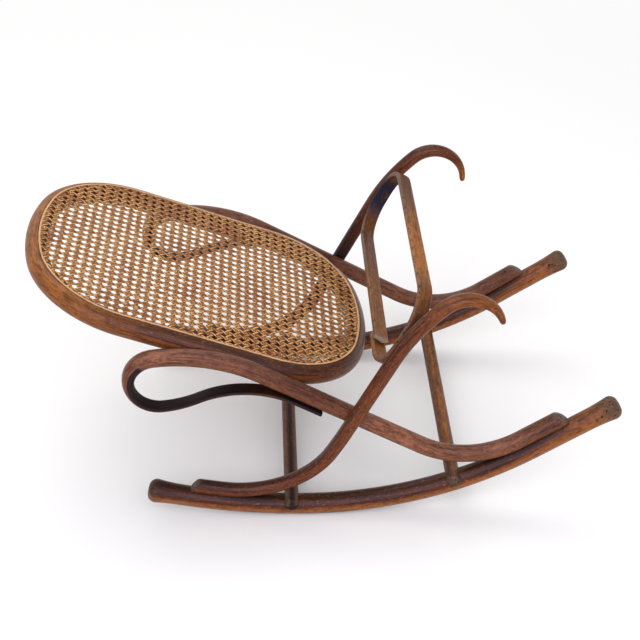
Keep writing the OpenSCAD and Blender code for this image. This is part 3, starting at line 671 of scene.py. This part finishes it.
def makeHoop():
    # in the strap's own plane, x runs across the stool and y along the hooks
    place = (Matrix.Translation(Vector((hoopMid[0], 0, hoopMid[1]))) @ Matrix.Rotation(-knee[2], 4, "Y")
             @ Matrix.Rotation(math.pi / 2, 4, "Z") @ Matrix.Scale(-1, 4, (0, 1, 0)))
    axes = place.to_3x3()
    thick, corner = hoop["thick"], hoop["corner"]
    top, side = hoop["long"] / 2 - thick / 2, hoopHalf - thick / 2
    start = place @ Vector((-(side - corner) + hoop["trim"], -top, 0))
    walk = Walk(start, axes @ Vector((1, 0, 0)), axes @ Vector((0, 0, 1)))
    inward = axes @ Vector((0, 1, 0))
    quarter = corner * math.pi / 2
    across = 2 * (side - corner)
    firstLong = across - hoop["trim"]
    # the last side is longer by the strap's thickness, so that the lap lies outside the first side
    for length in (firstLong, 2 * (top - corner), across, 2 * (top - corner) + thick):
        walk.straight(length)
        before = walk.ahead.copy()
        walk.bend(quarter, 90, inward)
        inward = -before
    walk.straight(hoop["lap"])
    total = walk.length
    farCorner = Vector((hoopMid[0], hoopHalf, hoopMid[1]))

    def section(run, turn):
        y = thick / 2 * power(math.cos(turn), hoop["faceRound"])
        z = hoop["wide"] / 2 * power(math.sin(turn), hoop["edgeRound"])
        return hoop["slant"] * (y + thick / 2) * max(0, 1 - run / hoop["slantFor"]), y, z

    def marks(run, y, z):
        spot = walk.at(run)[0]
        wear = patchy(spot.y, hoop["rubbedUpper"] if run > firstLong + quarter else hoop["rubbedLower"])
        grey = patchy(run, hoop["greyStart"]) + patchy(total - run, hoop["greyEnd"])
        grey += hoop["greyEdge"] * (abs(z) > hoop["wide"] / 2 - hoop["edge"])
        return (wear, grey, patchy((spot - farCorner).length, hoop["stained"]))

    made = sweep("braceHoopWood", walk, section, marks, seed=11.7, stride=7, ends=hoop["ends"])
    hang(made, finishes["wornBentwood"], "bentwood_worn", "brace_hoop")


# cane: strands run in pairs along and across the seat, and slanted ones between them
cane = {"step": 12.7, "wide": 2.75, "wideShare": 0.92, "wideVaries": 0.10, "pairGap": 1.38,
        "thick": 0.3, "lift": 0.16, "slantLift": 0.5, "touch": 0.5,
        "inset": 0.9, "shortest": 0.4, "halvings": 14,
        "wander": 0.30, "wanderOver": 55, "sag": 0.35, "sagOver": 60, "above": 0.72, "under": 0.26,
        "creaseAbove": 60, "openSlanted": (0.34, 0.7), "openPaired": (-0.06, 1.6), "openUnder": -0.34,
        "aged": tint(0.21, 0.056, 0.011), "fresh": tint(0.36, 0.125, 0.026),
        "openToLight": tint(0.93, 0.500, 0.170), "rust": tint(0.30, 0.075, 0.015),
        "straw": tint(1.0, 0.70, 0.28), "soot": tint(0.16, 0.032, 0.007),
        "fibre": tint(0.20, 0.060, 0.015), "shadedUnder": tint(0.075, 0.018, 0.005),
        "edge": tint(0.070, 0.016, 0.004), "specular": 0.2, "gloss": tint(1.0, 0.86, 0.62),
        "depth": 0.0004}


def caneMaterial():
    made, tone = newMaterial("wovenCane")
    strand = tone.attribute("strand")
    across, openToLight = strand.split()[1:]
    coords = tone.objectPlace()
    perStrand = strand.speckle(1, 2, 0.5, (22, 0, 0), (0, 4, 4))
    fibres = strand.speckle(1, 3, 0.6, (90, 2.6, 0), (2, 2, 2))
    clouds = coords.speckle(16, 4, 0.6)
    tufts = coords.speckle(230, 3, 0.6, (1, 1, 1), (5, 2, 9))
    colour = tone.blend(perStrand.between(0.35, 0.65), cane["aged"], cane["fresh"])
    # painted light: strands lying open on top are painted bright as highlight, partly also the slanted
    # strands' own paler tone; strands passing under others and each strand's edges are painted dark as
    # shade
    edge = tone.maths("ABSOLUTE", across).between(0.3, 0.9)
    for share, paint in (
            (openToLight.between(-0.02, 0.42) * 0.97, "openToLight"), (clouds.between(0.45, 0.62) * 0.6, "rust"),
            (tufts.between(0.54, 0.65) * 0.8, "straw"), (tufts.between(0.47, 0.36) * 0.85, "soot"),
            (fibres.between(0.50, 0.66) * 0.4, "fibre"), (openToLight.between(-0.02, -0.34) * 0.9, "shadedUnder"),
            (edge * 0.9, "edge")):
        colour = tone.blend(share, colour, cane[paint])
    tone.surface(colour, 0.26 + 0.2 * clouds, fibres, cane["depth"],
                 {"Specular IOR Level": cane["specular"], "Specular Tint": cane["gloss"]})
    return made


def insideSeat(x, y, inset):
    x, y = abs(x), abs(y)
    if x <= cornerX:
        return y <= halfWide - inset
    if math.atan2(y, x - endX) <= endSpan:
        return math.hypot(x - endX, y) <= seat["end"] - inset
    return math.hypot(x - cornerX, y - cornerY) <= seat["corner"] - inset


def strandRuns(start, along, marksAlong):
    # the marks of one strand that lie within the binding strip, and its two trimmed ends
    def inside(run):
        spot = start + along * run
        return insideSeat(spot.x, spot.y, cane["inset"])

    kept = [run for run in marksAlong if inside(run)]
    if len(kept) < 2:
        return []
    ends = []
    for near, far in ((kept[0], kept[0] - cane["step"]), (kept[-1], kept[-1] + cane["step"])):
        for _ in range(cane["halvings"]):
            middle = (near + far) / 2
            near, far = (middle, far) if inside(middle) else (near, middle)
        ends.append(near)
    between = [run for run in kept if ends[0] + cane["shortest"] < run < ends[1] - cane["shortest"]]
    return [ends[0]] + between + [ends[1]]


def addStrand(target, start, along, marksAlong, height, seed, slanted=False):
    # one crowned strip, over and under the others as its height says
    runs = strandRuns(start, along, marksAlong)
    if not runs:
        return
    bm = bmesh.new()
    layer = bm.verts.layers.float_vector.new("strand")
    count = len(runs) - 1
    made = bmesh.ops.create_grid(bm, x_segments=count, y_segments=2, size=0.5)["verts"]
    across = Vector((-along.y, along.x))
    wide = cane["wide"] * (cane["wideShare"] + cane["wideVaries"] * noise.noise(Vector((seed, 3, 3))))
    for v in made:
        run, offset = runs[round((v.co.x + 0.5) * count)], v.co.y * 2
        drift = cane["wander"] * noise.noise(Vector((run / cane["wanderOver"], seed, 0)))
        flat = start + along * run + across * (offset * wide / 2 + drift)
        lift = height(run)
        crown = cane["thick"] * (1 - offset ** 2)
        sag = cane["sag"] * noise.noise(Vector((flat.x / cane["sagOver"], flat.y / cane["sagOver"], 9)))
        # how open to the light the strand lies: low where others pass over it
        level, gain = cane["openSlanted"] if slanted else cane["openPaired"]
        openToLight = level + gain * lift if slanted or lift else cane["openUnder"]
        v[layer] = Vector((run * mm + seed, offset, openToLight))
        v.co = (seatPlace @ Vector((flat.x, flat.y, ledgeUp + cane["above"] + lift + crown + sag))) * mm
    bmesh.ops.recalc_face_normals(bm, faces=bm.faces)
    bmesh.ops.solidify(bm, geom=bm.faces[:], thickness=cane["under"] * mm)
    kept = bpy.data.meshes.new("strand")
    bm.to_mesh(kept)
    bm.free()
    target.from_mesh(kept)
    bpy.data.meshes.remove(kept)


def makeCane():
    step, pair, lift = cane["step"], cane["pairGap"], cane["lift"]
    rows, columns = math.ceil(halfWide / step), math.ceil(halfLong / step)
    straight, slanted = bmesh.new(), bmesh.new()
    # the strands of a pair pass over and under the others in turn
    for lengthwise in (True, False):
        lines, crossings = (rows, columns) if lengthwise else (columns, rows)
        along = Vector((1, 0)) if lengthwise else Vector((0, 1))
        across = Vector((0, 1)) if lengthwise else Vector((1, 0))
        spots = sorted(k * step + d for k in range(-crossings, crossings + 1)
                       for d in (-pair, pair, step / 2))
        for line in range(-lines, lines + 1):
            for member in (-1, 1):
                sign = member * (1 if lengthwise else -1)

                def height(run, sign=sign):
                    place = (run + step / 2) % step - step / 2
                    met = abs(abs(place) - pair) < cane["touch"]
                    return -lift * sign * math.copysign(1, place) * met

                addStrand(straight, across * (line * step + member * pair), along, spots, height,
                          line * 3.7 + member + (50 if lengthwise else 90))
    # slanted strands cross midway between the pairs and leave eight-sided holes
    spots = [k * step / math.sqrt(8) for k in range(-4 * columns, 4 * columns + 1)]
    for way in (1, -1):
        def height(run, way=way):
            return -way * cane["slantLift"] * math.cos(2 * math.pi * run / (step * math.sqrt(2)))

        along = Vector((1, way)).normalized()
        for line in range(-rows - columns, rows + columns):
            addStrand(slanted, Vector(((line + 0.5) * step, 0)), along, spots, height,
                      line * 2.9 + way * 200, slanted=True)
    finish = caneMaterial()
    for name, bm in (("straightCane", straight), ("slantedCane", slanted)):
        hang(finishMesh(name, bm, cane["creaseAbove"]), finish, "cane", "cane_web")


# binding strip, a low arch that is drawn down a little at each stitch
binder = {"wide": 3.2, "high": 2.0, "room": 0.45, "acrossRound": 0.7, "upRound": 0.75,
          "stitch": 12, "pinch": 0.10, "dip": 0.28,
          "shade": tint(0.50, 0.24, 0.095), "straw": tint(0.78, 0.47, 0.22),
          "cloud": tint(0.30, 0.115, 0.045), "edge": tint(0.05, 0.02, 0.010), "depth": 0.0005}


def binderMaterial():
    made, tone = newMaterial("bindingCane")
    grain = tone.attribute("grain")
    fibres = grain.speckle(1, 4, 0.6, (30, 1800, 1800))
    clouds = grain.speckle(1, 4, 0.6, (55, 90, 90), (4, 4, 4))
    colour = tone.blend(fibres.between(0.35, 0.65), binder["shade"], binder["straw"])
    colour = tone.blend(clouds.between(0.55, 0.7) * 0.6, colour, binder["cloud"])
    # painted shade along the strip's edges, where it meets the cane and the ring
    edge = tone.maths("ABSOLUTE", grain.split()[1]).between(0.0011, 0.0016)
    colour = tone.blend(edge * 0.75, colour, binder["edge"])
    tone.surface(colour, 0.4 + 0.2 * clouds, fibres, binder["depth"])
    return made


def makeBinder():
    walk = seatWalk()
    loops = round(walk.length / cane["step"])
    halfHigh = binder["high"] / 2

    def section(run, turn):
        stitch = abs(math.cos(math.pi * loops * run / walk.length)) ** binder["stitch"]
        wide = binder["wide"] * (1 - binder["pinch"] * stitch)
        y = wide / 2 * power(math.cos(turn), binder["acrossRound"])
        z = halfHigh * power(math.sin(turn), binder["upRound"])
        return 0, y, z + ledgeUp + halfHigh - (binder["dip"] * stitch if z > 0 else 0)

    made = sweep("bindingStrip", walk, section, lambda run, y, z: (0, 0, 0), seed=13.2, segments=14,
                 stride=2.1, closed=True)
    hang(made, binderMaterial(), "binding_cane", "cane_binder")


screws = {"iron": tint(0.055, 0.052, 0.050), "rust": tint(0.16, 0.075, 0.04), "depth": 0.0003}


def finishScrews():
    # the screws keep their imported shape
    made, tone = newMaterial("screwIron")
    spots = tone.objectPlace().speckle(420, 4, 0.6)
    colour = tone.blend(spots.between(0.4, 0.62), screws["iron"], screws["rust"])
    tone.surface(colour, 0.35 + 0.35 * spots, spots, screws["depth"],
                 {"Metallic": (1 - spots.between(0.45, 0.6)).clamped()})
    for name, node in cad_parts.items():
        if name.endswith("_screws"):
            node.data.materials.clear()
            node.data.materials.append(made)


for side in (-1, 1):
    makeRocker(side)
    makeRail(side)
    makeLeg(side)
makeRung("front", rockerTip, rocker["steps"][0])
makeRung("rear", rockerKnee, rocker["steps"][1])
print("rockers, rails, legs and rungs bent")
makeRing()
makeHoop()
print("seat ring and brace hoop bent")
makeCane()
makeBinder()
print("cane woven and bound")
finishScrews()
print("screws finished")


# floor, lamps and camera, in metres
ground = {"size": 14, "pale": tint(1.0, 1.0, 1.0), "dull": tint(0.55, 0.47, 0.40), "fade": (0.9, 2.6)}
lamps = {
    "frontSoftbox": {"spot": (-0.4, -2.8, 2.0), "aim": (0, 0, 0.15), "size": (4.6, 3.0), "energy": 98,
                     "colour": (0.95, 0.93, 1.0)},
    "topSoftbox": {"spot": (-0.6, 1.2, 3.0), "aim": (0, 0, 0.1), "size": (2.0, 2.0), "energy": 30,
                   "colour": (1.0, 0.97, 0.93)},
}
room = {"fill": 0.6, "seen": 1.0}
camera = {"spot": (-0.0605, -1.6262, 1.277), "tilt": 56.36, "turn": -2.26, "lens": 76.06,
          "sensor": 36, "far": 60}


def seenDirectly(tone):
    # 1 for what the camera sees, also in a gloss or through glass
    straight, glossy, through = [tone.node("ShaderNodeLightPath", None, None, kind)
                                 for kind in ("Is Camera Ray", "Is Glossy Ray", "Is Transmission Ray")]
    return (straight + glossy + through).clamped()


def makeFloor():
    bm = bmesh.new()
    bmesh.ops.create_grid(bm, x_segments=1, y_segments=1, size=ground["size"])
    made, tone = newMaterial("palePaper")
    pale, dull = [tone.node("ShaderNodeBsdfDiffuse", None, {"Color": ground[kind]})
                  for kind in ("pale", "dull")]
    # the paper fades to plain white away from the stool
    away = tone.node("ShaderNodeVectorMath", {"operation": "LENGTH"}, {0: tone.objectPlace()}, "Value")
    white = tone.node("ShaderNodeEmission", None, {"Color": tint(1, 1, 1)})
    paper = tone.node("ShaderNodeMixShader", None, {0: away.between(*ground["fade"]), 1: pale, 2: white})
    shader = tone.node("ShaderNodeMixShader", None, {0: seenDirectly(tone), 1: dull, 2: paper})
    tone.node("ShaderNodeOutputMaterial", None, {"Surface": shader})
    floor = finishMesh("paleFloor", bm)
    floor.data.materials.append(made)


def lightScene():
    for name, look in lamps.items():
        lamp = bpy.data.lights.new(name, "AREA")
        lamp.shape = "RECTANGLE"
        lamp.size, lamp.size_y = look["size"]
        lamp.energy, lamp.color = look["energy"], look["colour"]
        made = bpy.data.objects.new(name, lamp)
        made.location = look["spot"]
        towards = Vector(look["aim"]) - Vector(look["spot"])
        made.rotation_euler = towards.to_track_quat("-Z", "Y").to_euler()
        bpy.context.scene.collection.objects.link(made)
    world = bpy.data.worlds.new("paleRoom")
    bpy.context.scene.world = world
    world.use_nodes = True
    world.node_tree.nodes.clear()
    tone = Tone(world.node_tree)
    fill, seen = [tone.node("ShaderNodeBackground", None,
                            {"Color": tint(1, 1, 1), "Strength": room[kind]})
                  for kind in ("fill", "seen")]
    sky = tone.node("ShaderNodeMixShader", None, {0: seenDirectly(tone), 1: fill, 2: seen})
    tone.node("ShaderNodeOutputWorld", None, {"Surface": sky})


def makeCamera():
    eye = bpy.data.cameras.new("view")
    eye.lens, eye.sensor_width, eye.clip_end = camera["lens"], camera["sensor"], camera["far"]
    made = bpy.data.objects.new("view", eye)
    made.location = camera["spot"]
    made.rotation_euler = (math.radians(camera["tilt"]), 0, math.radians(camera["turn"]))
    bpy.context.scene.collection.objects.link(made)
    bpy.context.scene.camera = made


makeFloor()
lightScene()
makeCamera()
bpy.context.scene.view_settings.view_transform = "Standard"
print("stage, lamps and camera set")
